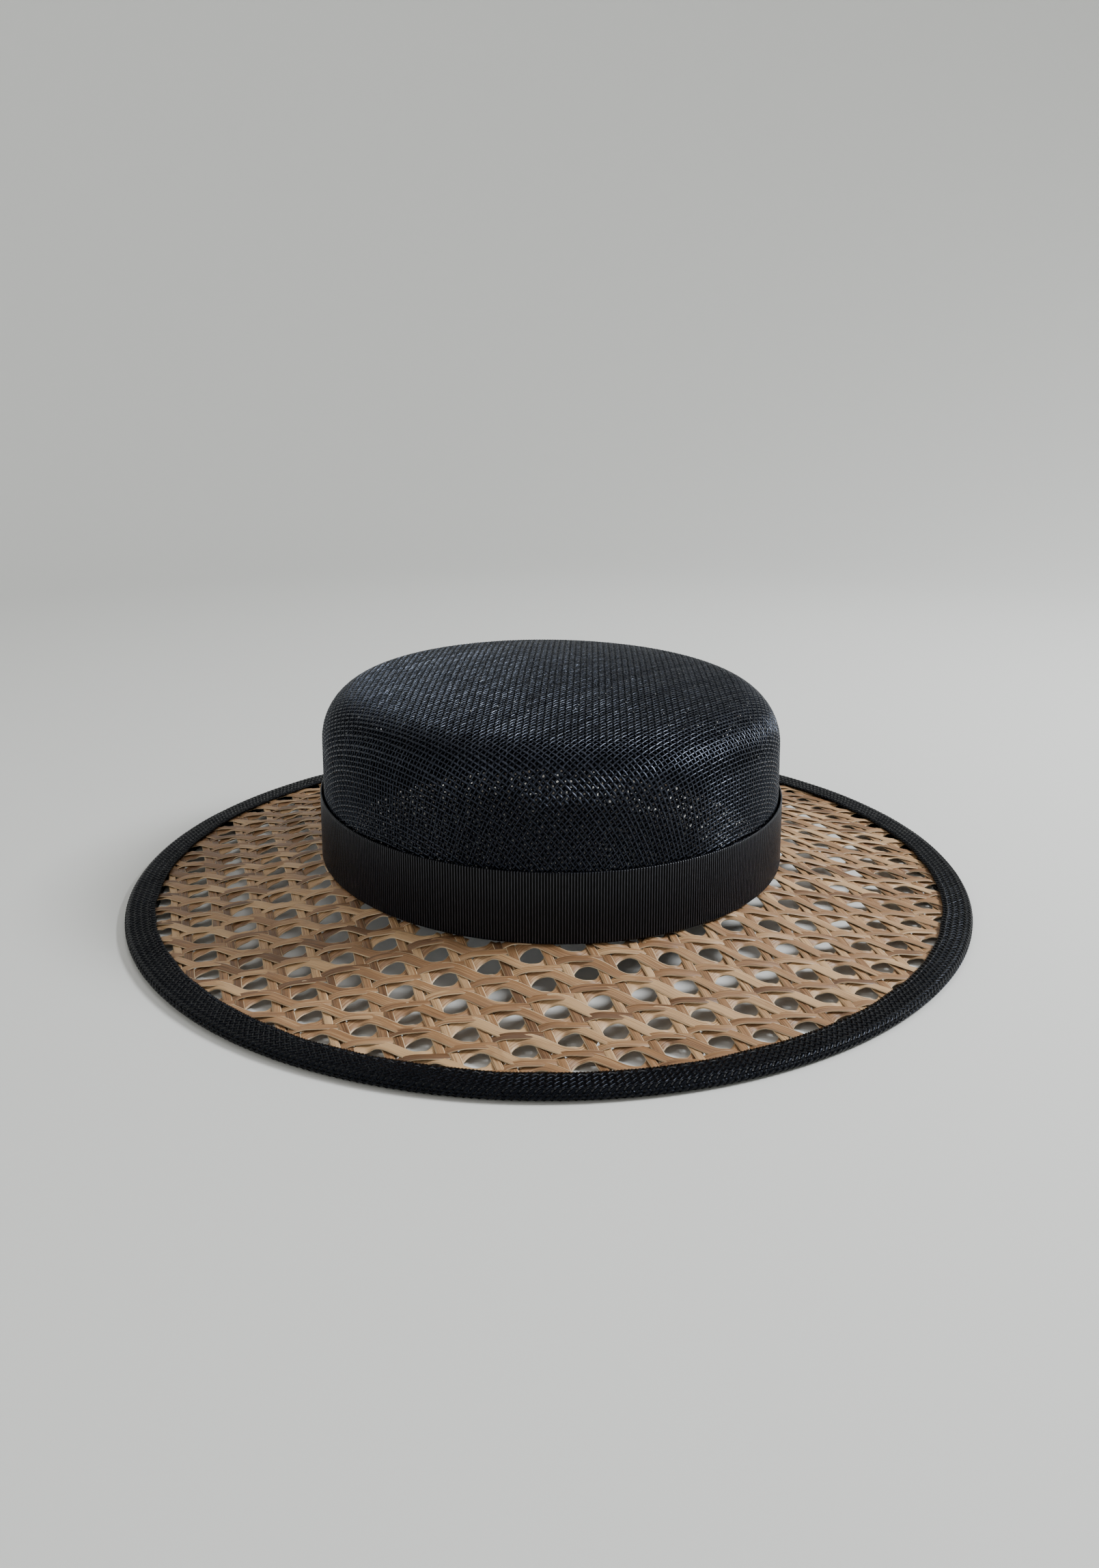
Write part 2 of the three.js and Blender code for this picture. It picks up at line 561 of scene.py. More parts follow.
@dataclass
class SharedEffects:
    """The node groups that the finishes use."""

    streak_detail: float = 4.0
    patch_scale: float = 120.0
    patch_detail: float = 2.0
    thread_roundness: float = 0.6
    fibre: NodeTree = field(init=False)
    weave: NodeTree = field(init=False)

    def __post_init__(self) -> None:
        """Builds each group once."""
        self.fibre = self.make_fibre()
        self.weave = self.make_weave()

    def make_fibre(self) -> NodeTree:
        """Fine streaks along a strand, and slow patches over it.

        Returns:
            The group, which puts out Streak and Patch, both from 0 to 1.
        """
        group, kit, given, put = new_group("fibre_streaks", ("Along", "Across"), ("Streak", "Patch"))
        parts = kit.node("ShaderNodeSeparateXYZ")
        kit.join(given.outputs["Place"], parts.inputs[0])
        stretched = kit.node("ShaderNodeCombineXYZ")
        for axis, label in enumerate(("Along", "Across")):
            scaled = kit.maths("MULTIPLY", parts.outputs[axis], given.outputs[label])
            kit.join(scaled, stretched.inputs[axis])
        streak = kit.noise(stretched.outputs[0], 1.0, self.streak_detail)
        patch = kit.noise(given.outputs["Place"], self.patch_scale, self.patch_detail)
        kit.join(streak, put.inputs["Streak"])
        kit.join(patch, put.inputs["Patch"])
        return group

    def make_weave(self) -> NodeTree:
        """Threads that cross over and under each other on a map of lengths.

        Returns:
            The group, which puts out Height, from 0 to 1.
        """
        group, kit, given, put = new_group("plain_weave", ("Pitch", "Turn"), ("Height",))
        turned = kit.node("ShaderNodeVectorRotate", rotation_type="Z_AXIS")
        kit.join(given.outputs["Place"], turned.inputs["Vector"])
        kit.join(given.outputs["Turn"], turned.inputs["Angle"])
        parts = kit.node("ShaderNodeSeparateXYZ")
        kit.join(turned.outputs[0], parts.inputs[0])
        ridges = []
        squares = []
        for axis in (0, 1):
            share = kit.maths("DIVIDE", parts.outputs[axis], given.outputs["Pitch"])
            wave = kit.maths("SINE", kit.maths("MULTIPLY", share, math.pi))
            ridges.append(kit.maths("ABSOLUTE", wave))
            squares.append(kit.maths("FLOOR", share))
        odd = kit.maths("PINGPONG", kit.maths("ADD", *squares), 1.0)
        even = kit.maths("SUBTRACT", 1.0, odd)
        over = [kit.maths("MULTIPLY", ridge, square) for ridge, square in zip(ridges, (odd, even))]
        height = kit.maths("POWER", kit.maths("ADD", *over), self.thread_roundness)
        kit.join(height, put.inputs["Height"])
        return group

    def place(self, kit: NodeKit, group: NodeTree, where: Socket, **values: float) -> Node:
        """Puts a group in a material with its own values.

        Args:
            kit: the material's node helpers.
            group: the group to place.
            where: the place on the surface that it reads.
            values: its numbers.

        Returns:
            The group's node.
        """
        made = kit.node("ShaderNodeGroup")
        made.node_tree = group
        kit.join(where, made.inputs["Place"])
        for label, value in values.items():
            made.inputs[label].default_value = value
        return made

    def streaks(self, kit: NodeKit, where: Socket, grain: Range) -> tuple[Socket, Socket]:
        """Puts the fibre's streaks and patches in a material.

        Args:
            kit: the material's node helpers.
            where: the place on the surface that they follow.
            grain: how fine the streaks are, along the strand and across it.

        Returns:
            The streaks and the patches, both from 0 to 1.
        """
        along, across = grain
        made = self.place(kit, self.fibre, where, Along=along, Across=across)
        return made.outputs["Streak"], made.outputs["Patch"]


def new_material(name: str) -> tuple[Material, NodeKit, Node, Socket]:
    """Starts a material.

    Args:
        name: the material's name.

    Returns:
        The material, its node helpers, its Principled shader and the piece's map of lengths.
    """
    material = bpy.data.materials.new(name)
    material.use_nodes = True
    kit = NodeKit(material.node_tree)
    shader = material.node_tree.nodes["Principled BSDF"]
    lengths = kit.node("ShaderNodeUVMap", uv_map="lengths")
    return material, kit, shader, lengths.outputs[0]


def add_bump(kit: NodeKit, shader: Node, height: Socket, depth: float) -> None:
    """Gives a shader a relief.

    Args:
        kit: the material's node helpers.
        shader: its Principled shader.
        height: the relief, from 0 to 1.
        depth: how deep it is, in metres.
    """
    bump = kit.node("ShaderNodeBump")
    bump.inputs["Distance"].default_value = depth
    bump.inputs["Strength"].default_value = 1.0
    kit.join(height, bump.inputs["Height"])
    kit.join(bump.outputs[0], shader.inputs["Normal"])


@dataclass(frozen=True)
class StrawFinish:
    """Split natural straw: tan faces with fine grain and a few brown flecks, with a painted highlight of
    cream on the strands' edges.
    """

    dark: Colour = (0.100, 0.045, 0.017)
    tan: Colour = (0.252, 0.131, 0.057)
    pale: Colour = (0.47, 0.295, 0.150)
    # Cream of the painted highlight on the strands' edges
    rim: Colour = (0.86, 0.680, 0.440)
    fleck: Colour = (0.13, 0.058, 0.020)
    grain: Range = (45.0, 3000.0)
    streak_shade: Range = (-0.30, 0.30)
    fleck_onset: Range = (0.33, 0.42)
    fleck_share: Range = (0.0, 0.55)
    # Where the painted edge highlight starts and how strong it is, broken up by slow patches
    rim_onset: Range = (0.78, 0.98)
    rim_share: Range = (0.0, 0.85)
    rim_patches: Range = (0.3, 0.6)
    rim_highlight_strength: Range = (0.5, 1.0)
    roughness: Range = (0.36, 0.56)
    level: float = 0.55
    relief: float = 0.18 * MM

    def material(self, effects: SharedEffects) -> Material:
        """Builds the straw's material.

        Args:
            effects: the node groups.

        Returns:
            The material.
        """
        material, kit, shader, lengths = new_material("natural_straw")
        streak, patch = effects.streaks(kit, lengths, self.grain)
        shade = kit.maths("ADD", kit.attribute("tint"), kit.ranged(streak, NOISE_RANGE, self.streak_shade))
        low = kit.mixed(kit.ranged(shade, (0.0, 0.5), FULL), self.dark, self.tan)
        body = kit.mixed(kit.ranged(shade, (0.5, 1.0), FULL), low, self.pale)
        flecks = kit.ranged(kit.maths("MULTIPLY", patch, streak), self.fleck_onset, self.fleck_share)
        spotted = kit.mixed(flecks, body, self.fleck)
        # Painted highlight: the strands' edges are mixed towards cream, more in some patches than others
        rim = kit.ranged(kit.attribute("rim"), self.rim_onset, self.rim_share)
        edge = kit.maths("MULTIPLY", rim, kit.ranged(patch, self.rim_patches, self.rim_highlight_strength))
        kit.join(kit.mixed(edge, spotted, self.rim), shader.inputs["Base Color"])
        kit.join(kit.ranged(streak, NOISE_RANGE, self.roughness), shader.inputs["Roughness"])
        shader.inputs["Specular IOR Level"].default_value = self.level
        add_bump(kit, shader, streak, self.relief)
        return material


@dataclass(frozen=True)
class ClothThreadFinish:
    """Black threads of stiff split fibre, with a cool gloss along them."""

    name: str = "crown_cloth"
    deep: Colour = (0.0012, 0.0012, 0.0016)
    worn: Colour = (0.0060, 0.0062, 0.0080)
    gloss: Colour = (0.62, 0.73, 1.0)
    level: float = 0.52
    grain: Range = (90.0, 5200.0)
    streak_share: Range = (0.4, 1.2)
    roughness: Range = (0.21, 0.33)
    relief: float = 0.08 * MM

    def material(self, effects: SharedEffects) -> Material:
        """Builds the threads' material.

        Args:
            effects: the node groups.

        Returns:
            The material.
        """
        material, kit, shader, lengths = new_material(self.name)
        streak, _ = effects.streaks(kit, lengths, self.grain)
        worn = kit.ranged(streak, NOISE_RANGE, self.streak_share)
        shade = kit.maths("MULTIPLY", kit.attribute("tint"), worn)
        kit.join(kit.mixed(shade, self.deep, self.worn), shader.inputs["Base Color"])
        kit.join(kit.ranged(streak, NOISE_RANGE, self.roughness), shader.inputs["Roughness"])
        shader.inputs["Specular IOR Level"].default_value = self.level
        shader.inputs["Specular Tint"].default_value = (*self.gloss, 1.0)
        add_bump(kit, shader, streak, self.relief)
        return material


@dataclass(frozen=True)
class RibbonFinish:
    """Black ribbed ribbon: rounded ribs with a low sheen on their crests, a painted highlight on the
    crests and painted shade in the furrows.
    """

    name: str = "ribbed_ribbon"
    # Painted shade in the furrows and painted highlight on the crests
    furrow_shade: Colour = (0.0010, 0.0010, 0.0014)
    rib_highlight: Colour = (0.0200, 0.0208, 0.0265)
    gloss: Colour = (0.80, 0.87, 1.0)
    grain: Range = (5200.0, 420.0)
    crest_onset: Range = (0.72, 1.0)
    streak_share: Range = (0.6, 1.1)
    roughness: Range = (0.30, 0.42)
    sheen_roughness: float = 0.26
    level: float = 0.05
    relief: float = 0.06 * MM

    def material(self, effects: SharedEffects) -> Material:
        """Builds the ribbon's material.

        Args:
            effects: the node groups.

        Returns:
            The material.
        """
        material, kit, shader, lengths = new_material(self.name)
        streak, _ = effects.streaks(kit, lengths, self.grain)
        # Painted highlight and shade: the crests are mixed lighter than the furrows, and the same share
        # lays the coat on the crests
        crest = kit.ranged(kit.attribute("rim"), self.crest_onset, FULL)
        shade = kit.maths("MULTIPLY", crest, kit.ranged(streak, NOISE_RANGE, self.streak_share))
        kit.join(kit.mixed(shade, self.furrow_shade, self.rib_highlight), shader.inputs["Base Color"])
        kit.join(kit.ranged(streak, NOISE_RANGE, self.roughness), shader.inputs["Roughness"])
        kit.join(shade, shader.inputs["Coat Weight"])
        shader.inputs["Coat Roughness"].default_value = self.sheen_roughness
        shader.inputs["Coat Tint"].default_value = (*self.gloss, 1.0)
        shader.inputs["Specular IOR Level"].default_value = self.level
        add_bump(kit, shader, streak, self.relief)
        return material


@dataclass(frozen=True)
class BindingFinish:
    """The under layer of the folded strip: the same black weave, seen between the threads above it, with
    painted shade in its hollows.
    """

    # Painted shade in the hollows between the woven threads
    gap_shade: Colour = (0.0010, 0.0010, 0.0013)
    thread: Colour = (0.0035, 0.0035, 0.0045)
    pitch: float = 1.6 * MM
    bias: float = math.radians(45)
    grain: Range = (700.0, 700.0)
    streak_share: Range = (0.6, 1.1)
    thread_range: Range = (0.2, 0.9)
    roughness: Range = (0.60, 0.42)
    level: float = 0.2
    relief: float = 0.30 * MM

    def material(self, effects: SharedEffects) -> Material:
        """Builds the under layer's material.

        Args:
            effects: the node groups.

        Returns:
            The material.
        """
        material, kit, shader, lengths = new_material("binding_cloth")
        weave = effects.place(kit, effects.weave, lengths, Pitch=self.pitch, Turn=self.bias)
        streak, _ = effects.streaks(kit, lengths, self.grain)
        height = weave.outputs["Height"]
        # Painted shade: the weave's hollows are mixed darker than its threads
        shade = kit.maths("MULTIPLY", height, kit.ranged(streak, NOISE_RANGE, self.streak_share))
        kit.join(kit.mixed(shade, self.gap_shade, self.thread), shader.inputs["Base Color"])
        kit.join(kit.ranged(height, self.thread_range, self.roughness), shader.inputs["Roughness"])
        shader.inputs["Specular IOR Level"].default_value = self.level
        add_bump(kit, shader, height, self.relief)
        return material


@dataclass(frozen=True)
class StitchFinish:
    """Black sewing thread."""

    thread: Colour = (0.010, 0.010, 0.012)
    fuzz: Colour = (0.024, 0.024, 0.027)
    grain: Range = (2400.0, 2400.0)
    roughness: Range = (0.5, 0.7)

    def material(self, effects: SharedEffects) -> Material:
        """Builds the sewing thread's material.

        Args:
            effects: the node groups.

        Returns:
            The material.
        """
        material, kit, shader, lengths = new_material("sewing_thread")
        streak, _ = effects.streaks(kit, lengths, self.grain)
        kit.join(kit.mixed(streak, self.thread, self.fuzz), shader.inputs["Base Color"])
        kit.join(kit.ranged(streak, NOISE_RANGE, self.roughness), shader.inputs["Roughness"])
        return material


@dataclass(frozen=True)
class FloorFinish:
    """Plain pale studio floor."""

    colour: Colour = (0.66, 0.66, 0.635)
    roughness: float = 0.9

    def material(self) -> Material:
        """Builds the floor's material.

        Returns:
            The material.
        """
        material = bpy.data.materials.new("studio_floor")
        material.use_nodes = True
        shader = material.node_tree.nodes["Principled BSDF"]
        shader.inputs["Base Color"].default_value = (*self.colour, 1.0)
        shader.inputs["Roughness"].default_value = self.roughness
        return material


def dress(piece: Piece, material: Material, slot: str, *nodes: str) -> Piece:
    """Gives a finished piece its material and its body, and hides the solids it stands for.

    Args:
        piece: the piece.
        material: its finish.
        slot: the record's material slot; not used.
        nodes: the solids that it stands for.

    Returns:
        The piece.
    """
    piece.data.materials.append(material)
    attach(piece, BODY)
    if nodes:
        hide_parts(*nodes)
    LOG.info("%s: %d faces", piece.name, len(piece.data.polygons))
    return piece


@dataclass(frozen=True)
class ClothPly:
    """One ply of the crown's double cloth, whose specks show where the gaps of both plies meet."""

    inset: float
    turn: float
    stride: int
    fill: float
    lift: float


OUTER_PLY = ClothPly(inset=0.36 * MM, turn=math.radians(29), stride=1, fill=0.56, lift=0.14 * MM)
INNER_PLY = ClothPly(inset=0.88 * MM, turn=math.radians(74), stride=3, fill=0.56, lift=0.0)


@dataclass
class CrownCloth:
    """The crown: two round cuts of open cloth, blocked one on the other, as real crossing threads."""

    form: HatForm
    effects: SharedEffects
    finish: ClothThreadFinish = ClothThreadFinish()
    inner_finish: ClothThreadFinish = ClothThreadFinish("crown_inner_cloth", level=0.06)
    warp_pitch: float = 1.8 * MM
    weft_pitch: float = 1.5 * MM
    half_depth: float = 0.15 * MM
    stray: Wander = Wander(0.15 * MM, 38 * MM)
    thread_widths: Range = (0.74, 1.2)
    local_widths: Range = (0.84, 1.16)
    tightest: float = 0.2
    fewest_crossings: int = 3
    least_step: float = 0.1
    seed: int = 11

    def pitches(self, lay: Lay) -> tuple[float, float]:
        """The spacing of the threads that run one way, and of those that cross them."""
        both = (self.warp_pitch, self.weft_pitch)
        return both if lay is Lay.WARP else both[::-1]

    def blocked(self, ply: ClothPly, cut_x: Array, cut_y: Array) -> tuple[Array, Array, Array]:
        """Carries points of the flat cut onto the crown.

        Args:
            ply: the ply that they lie in.
            cut_x: places across the flat cut.
            cut_y: places along it.

        Returns:
            The places on the crown, the outward normals, and how far the cloth is drawn in there.
        """
        travel, radius, height = self.form.crown_meridian(ply.inset)
        out = np.minimum(np.hypot(cut_x, cut_y), travel[-1])
        turn = np.arctan2(cut_y, cut_x) + ply.turn
        cos, sin = np.cos(turn), np.sin(turn)
        half_width, up = np.interp(out, travel, radius), np.interp(out, travel, height)
        slope_r = np.interp(out, travel, np.gradient(radius, travel))
        slope_z = np.interp(out, travel, np.gradient(height, travel))
        normal = np.stack([-slope_z * cos, -slope_z * sin, slope_r], axis=1)
        normal /= np.linalg.norm(normal, axis=1, keepdims=True)
        places = np.stack([half_width * cos, half_width * self.form.foot_stretch * sin, up], axis=1)
        drawn_in = np.clip(half_width / np.maximum(out, TINY), self.tightest, 1)
        return places, normal, drawn_in

    def add_thread(self, strands: StrandSet, ply: ClothPly, lay: Lay, line: int, rng: Chance) -> None:
        """Lays one thread of a ply over the crown.

        Args:
            strands: the set that it joins.
            ply: the ply that it belongs to.
            lay: the way it runs in the flat cut.
            line: its number, counted from the middle of the cut.
            rng: the seeded source of chance.
        """
        reach = self.form.crown_meridian(ply.inset)[0][-1]
        pitch, crossing_pitch = self.pitches(lay)
        side = line * pitch
        half = math.sqrt(max(reach ** 2 - side ** 2, 0))
        ends = int(half / crossing_pitch)
        crossings = np.arange(-ends, ends + 1, ply.stride)
        if len(crossings) < self.fewest_crossings:
            return
        along = np.concatenate([[-half], crossings * crossing_pitch, [half]])
        keep = np.concatenate([[True], np.diff(along) > self.least_step * crossing_pitch])
        over = np.where((crossings + line) % 2 == 0, 1.0, -1.0)
        along, wave = along[keep], np.concatenate([[0], over, [0]])[keep]
        drift = side + self.stray.along(rng, along)
        cut_x, cut_y = drift, along
        if lay is Lay.WEFT:
            wave, cut_x, cut_y = -wave, along, drift
        places, normal, drawn_in = self.blocked(ply, cut_x, cut_y)
        bearing = np.arctan2(cut_y, cut_x)
        radial, around = np.cos(bearing), np.sin(bearing)
        if lay is Lay.WEFT:
            radial, around = around, radial
        spacing = pitch / np.sqrt(radial ** 2 + (around / drawn_in) ** 2)
        width = ply.fill * spacing / 2 * rng.uniform(*self.thread_widths)
        width *= rng.uniform(*self.local_widths, len(along))
        tint = rng.uniform(*THREAD_SHADES)
        path = places + normal * (ply.lift * wave)[:, None]
        strands.add(path, normal, width, self.half_depth, tint, 0.0, rng.uniform(0, THREAD_GRAIN))

    def lay_threads(self, name: str, ply: ClothPly, *lays: Lay) -> Piece:
        """Lays the threads of one ply that run the given ways.

        Args:
            name: the piece's name.
            ply: the ply.
            lays: the ways that the threads run.

        Returns:
            The threads as one piece.
        """
        rng = np.random.default_rng(self.seed + len(name))
        strands = StrandSet(Section.RIDGE)
        reach = self.form.crown_meridian(ply.inset)[0][-1]
        for lay in lays:
            lines = int(reach / self.pitches(lay)[0])
            for line in range(-lines, lines + 1):
                self.add_thread(strands, ply, lay, line, rng)
        return strands.build(name)

    def build(self) -> list[Piece]:
        """Builds and dresses the crown's cloth.

        Returns:
            The inner ply, and the two sets of threads of the outer one.
        """
        slot = "crown_cloth"
        outside, inside = self.finish.material(self.effects), self.inner_finish.material(self.effects)
        warp = dress(self.lay_threads("crown_outer_warp", OUTER_PLY, Lay.WARP), outside, slot, "crown")
        weft = dress(self.lay_threads("crown_outer_weft", OUTER_PLY, Lay.WEFT), outside, slot)
        inner = dress(self.lay_threads("crown_inner_ply", INNER_PLY, *Lay), inside, slot)
        travel, radius, _ = self.form.crown_meridian(INNER_PLY.inset)
        return [inner, warp, weft]


@dataclass(frozen=True)
class TwineRow:
    """How one kind of twined pair runs across the hat.

    A tie turns about the two stakes of a band. A span lies half a row further on and turns about the two
    stakes on either side of a hole.
    """

    name: str
    along: float
    across: float
    width: float
    sway: float
    lift: float
    dive: float
    lean: float


TIES = TwineRow("brim_ties", along=0.0, across=0.0, width=3.9 * MM, sway=5.5 * MM, lift=0.64 * MM,
                dive=0.6, lean=math.radians(24))
SPANS = TwineRow("brim_spans", along=0.5, across=0.5, width=3.2 * MM, sway=1.25 * MM, lift=0.84 * MM,
                 dive=1.3, lean=0.0)


@dataclass
class StrawBrim:
    """The brim: pairs of stakes along the hat, and pairs of straws twined round them across it."""

    form: HatForm
    effects: SharedEffects
    finish: StrawFinish = StrawFinish()
    band_pitch: float = 14.3 * MM
    row_pitch: float = 13.0 * MM
    half_depth: float = 0.27 * MM
    straw_widths: Range = (0.9, 1.08)
    straw_depths: Range = (0.85, 1.1)
    shade: float = 0.5
    shade_spread: float = 0.24
    shade_limits: Range = (0.02, 1.0)
    shade_drift: Wander = Wander(0.13, 60 * MM)
    grain_reach: float = 0.5
    inner_ends: Range = (-0.3 * MM, 0.5 * MM)
    outer_gap: float = 0.4 * MM
    fewest_points: int = 5
    press_run: float = 2 * MM
    press_share: float = 0.3
    stake_side: float = 1.85 * MM
    stake_width: float = 3.0 * MM
    stake_step: float = 1.7 * MM
    stake_dip: float = 0.16 * MM
    stake_drift: Wander = Wander(0.30 * MM, 44 * MM)
    stake_swell: Wander = Wander(0.08, 60 * MM)
    stake_tilt: Wander = Wander(math.radians(7), 30 * MM)
    twine_step: float = 1.1 * MM
    twine_drift: Wander = Wander(0.32 * MM, 36 * MM)
    twine_swell: Wander = Wander(0.09, 50 * MM)
    twine_tilt: Wander = Wander(math.radians(9), 34 * MM)
    sway_change: Wander = Wander(0.05, 50 * MM)
    flatten: float = 0.5
    lean_sharpness: int = 6
    seed: int = 23

    def runs(self, x: Array, y: Array, rng: Chance) -> list[slice]:
        """The stretches of a line that lie on the brim.

        Args:
            x: the line's places across the hat.
            y: its places along the hat.
            rng: the seeded source of chance, which leaves the inner ends uneven.

        Returns:
            The stretches as slices of the line.
        """
        radius = self.form.oval_at(x, y)
        inner = self.form.straw_inner + rng.uniform(*self.inner_ends)
        on_brim = (radius > inner) & (radius < self.form.straw_edge - self.outer_gap)
        marks = np.flatnonzero(np.diff(np.concatenate([[0], on_brim.astype(int), [0]])))
        return [slice(a, b) for a, b in zip(marks[::2], marks[1::2]) if b - a >= self.fewest_points]

    def add_line(self, strands: StrandSet, x: Array, y: Array, rise: Array, width: Array, tilt: Array,
                 rng: Chance) -> None:
        """Lays one straw on the brim, pressed flat under the binding.

        Args:
            strands: the set that it joins.
            x: its places across the hat.
            y: its places along the hat.
            rise: how far it lies above the middle of the brim.
            width: its width at each place.
            tilt: how far it leans at each place.
            rng: the seeded source of chance.
        """
        tint = rng.normal(self.shade, self.shade_spread)
        offset = rng.uniform(0, self.grain_reach)
        for run in self.runs(x, y, rng):
            normal = self.form.brim_normal(x[run], y[run])
            inside = (self.form.oval_at(x[run], y[run]) - self.form.binding_start) / self.press_run
            press = np.clip(inside + 1, 0, 1)
            middle = np.stack([x[run], y[run], self.form.brim_middle(x[run], y[run])], axis=1)
            shade = np.clip(tint + self.shade_drift.along(rng, x[run] + y[run]), *self.shade_limits)
            thinned = 1 - self.press_share * press
            depth = self.half_depth * thinned * rng.uniform(*self.straw_depths)
            path = middle + normal * (rise[run] * thinned)[:, None]
            strands.add(path, normal, width[run] / 2, depth, shade, tilt[run] * (1 - press), offset)

    def lay_stakes(self) -> Piece:
        """Lays the pairs of stakes, which run along the hat.

        Returns:
            The stakes as one piece.
        """
        rng = np.random.default_rng(self.seed)
        strands = StrandSet(Section.STRAW)
        y = np.arange(-self.form.edge_length, self.form.edge_length, self.stake_step)
        bands = int(self.form.edge / self.band_pitch) + 1
        for band in range(-bands, bands + 1):
            for side in (-1, 1):
                x = band * self.band_pitch + side * self.stake_side + self.stake_drift.along(rng, y)
                rise = side * self.stake_dip * np.sin(2 * math.pi * y / self.row_pitch)
                width = self.stake_width * (1 + self.stake_swell.along(rng, y))
                width *= rng.uniform(*self.straw_widths)
                self.add_line(strands, x, y, rise, width, self.stake_tilt.along(rng, y), rng)
        return strands.build("brim_stakes")

    def lay_twines(self, kind: TwineRow) -> Piece:
        """Lays the pairs of straws that turn about each other across the hat, always the same way round.

        Args:
            kind: how these pairs run.

        Returns:
            The twined straws as one piece.
        """
        rng = np.random.default_rng(self.seed + len(kind.name))
        strands = StrandSet(Section.STRAW)
        x = np.arange(-self.form.edge, self.form.edge, self.twine_step)
        turn = math.pi * (x / self.band_pitch - kind.across)
        swing = np.tanh(self.flatten * np.sin(turn)) / math.tanh(self.flatten)
        dive = np.tanh(kind.dive * np.cos(turn)) / math.tanh(kind.dive)
        lean = kind.lean * np.sin(turn) ** self.lean_sharpness
        rows = int(self.form.edge_length / self.row_pitch) + 1
        for row in range(-rows, rows + 1):
            for face in Face:
                sway = kind.sway * (1 + self.sway_change.along(rng, x))
                middle = (row + kind.along) * self.row_pitch + self.twine_drift.along(rng, x)
                width = kind.width * (1 + self.twine_swell.along(rng, x))
                width *= rng.uniform(*self.straw_widths)
                tilt = lean + self.twine_tilt.along(rng, x)
                y, rise = middle - face.value * sway * swing, face.value * kind.lift * dive
                self.add_line(strands, x, y, rise, width, tilt, rng)
        return strands.build(kind.name)

    def build(self) -> list[Piece]:
        """Builds and dresses the straw brim.

        Returns:
            Its stakes and its twined straws.
        """
        material = self.finish.material(self.effects)
        stakes = dress(self.lay_stakes(), material, "natural_straw", "brim")
        twines = [dress(self.lay_twines(kind), material, "natural_straw") for kind in (TIES, SPANS)]
        return [stakes, *twines]


@dataclass
class RibbedRibbon:
    """A ribbon with rounded ribs across it, set round the crown's wall."""

    form: HatForm
    effects: SharedEffects
    node: str
    name: str
    slot: str
    finish: RibbonFinish
    inner: float
    outer: float
    against: str
    ribs: int = 580
    rib_depth: float = 0.26 * MM
    rib_roundness: float = 0.7
    steps_per_rib: int = 5
    soft_edge: float = 0.35 * MM

    @property
    def middle(self) -> float:
        """The offset of the ribbon's middle from the wall."""
        return (self.inner + self.outer) / 2

    def profile(self) -> Array:
        """The ribbon's outline across.

        Returns:
            Rows of offset from the wall and height.
        """
        low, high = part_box(self.node)
        near, far = self.soft_edge, 3 * self.soft_edge
        heights = [low.z + near, low.z + far, (low.z + high.z) / 2, high.z - far, high.z - near]
        outside = [(self.outer, z) for z in heights]
        inside = [(self.inner, z) for z in heights[::-1]]
        return np.array(outside + [(self.middle, high.z)] + inside + [(self.middle, low.z)])

    def crest(self, turn: Array) -> Array:
        """How high the ribs stand at an angle round the hat, from 0 to 1."""
        return np.abs(np.sin(turn * self.ribs / 2)) ** self.rib_roundness

    def build(self) -> Piece:
        """Builds and dresses the ribbon.

        Returns:
            The ribbon.
        """
        outline = self.profile()
        stretch = self.form.foot_stretch
        walls = self.form.wall_at(outline[:, 1])
        half = (self.outer - self.inner) / 2

        def bend(turn: float, row: int) -> tuple[float, float, float]:
            """Sets a corner of the outline on a crest of the ribs or in a hollow between them.

            Args:
                turn: the angle round the hat.
                row: the corner's number.

            Returns:
                The corner's place.
            """
            offset, height = outline[row]
            sunk = (offset - self.middle) / half * self.rib_depth * (1 - self.crest(turn))
            radius = walls[row] + offset - sunk
            return radius * math.cos(turn), radius * stretch * math.sin(turn), height

        low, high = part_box(self.node)
        round_wall = 2 * math.pi * math.sqrt((high.x ** 2 + high.y ** 2) / 2)
        piece = bent_ring(self.name, outline, self.ribs * self.steps_per_rib, round_wall, bend)
        places = np.array([vert.co for vert in piece.data.vertices])
        turns = np.arctan2(places[:, 1] / stretch, places[:, 0])
        crests = piece.data.attributes.new("rim", "FLOAT", "POINT")
        crests.data.foreach_set("value", self.crest(turns).astype(np.float32))
        dress(piece, self.finish.material(self.effects), self.slot, self.node)
        return piece


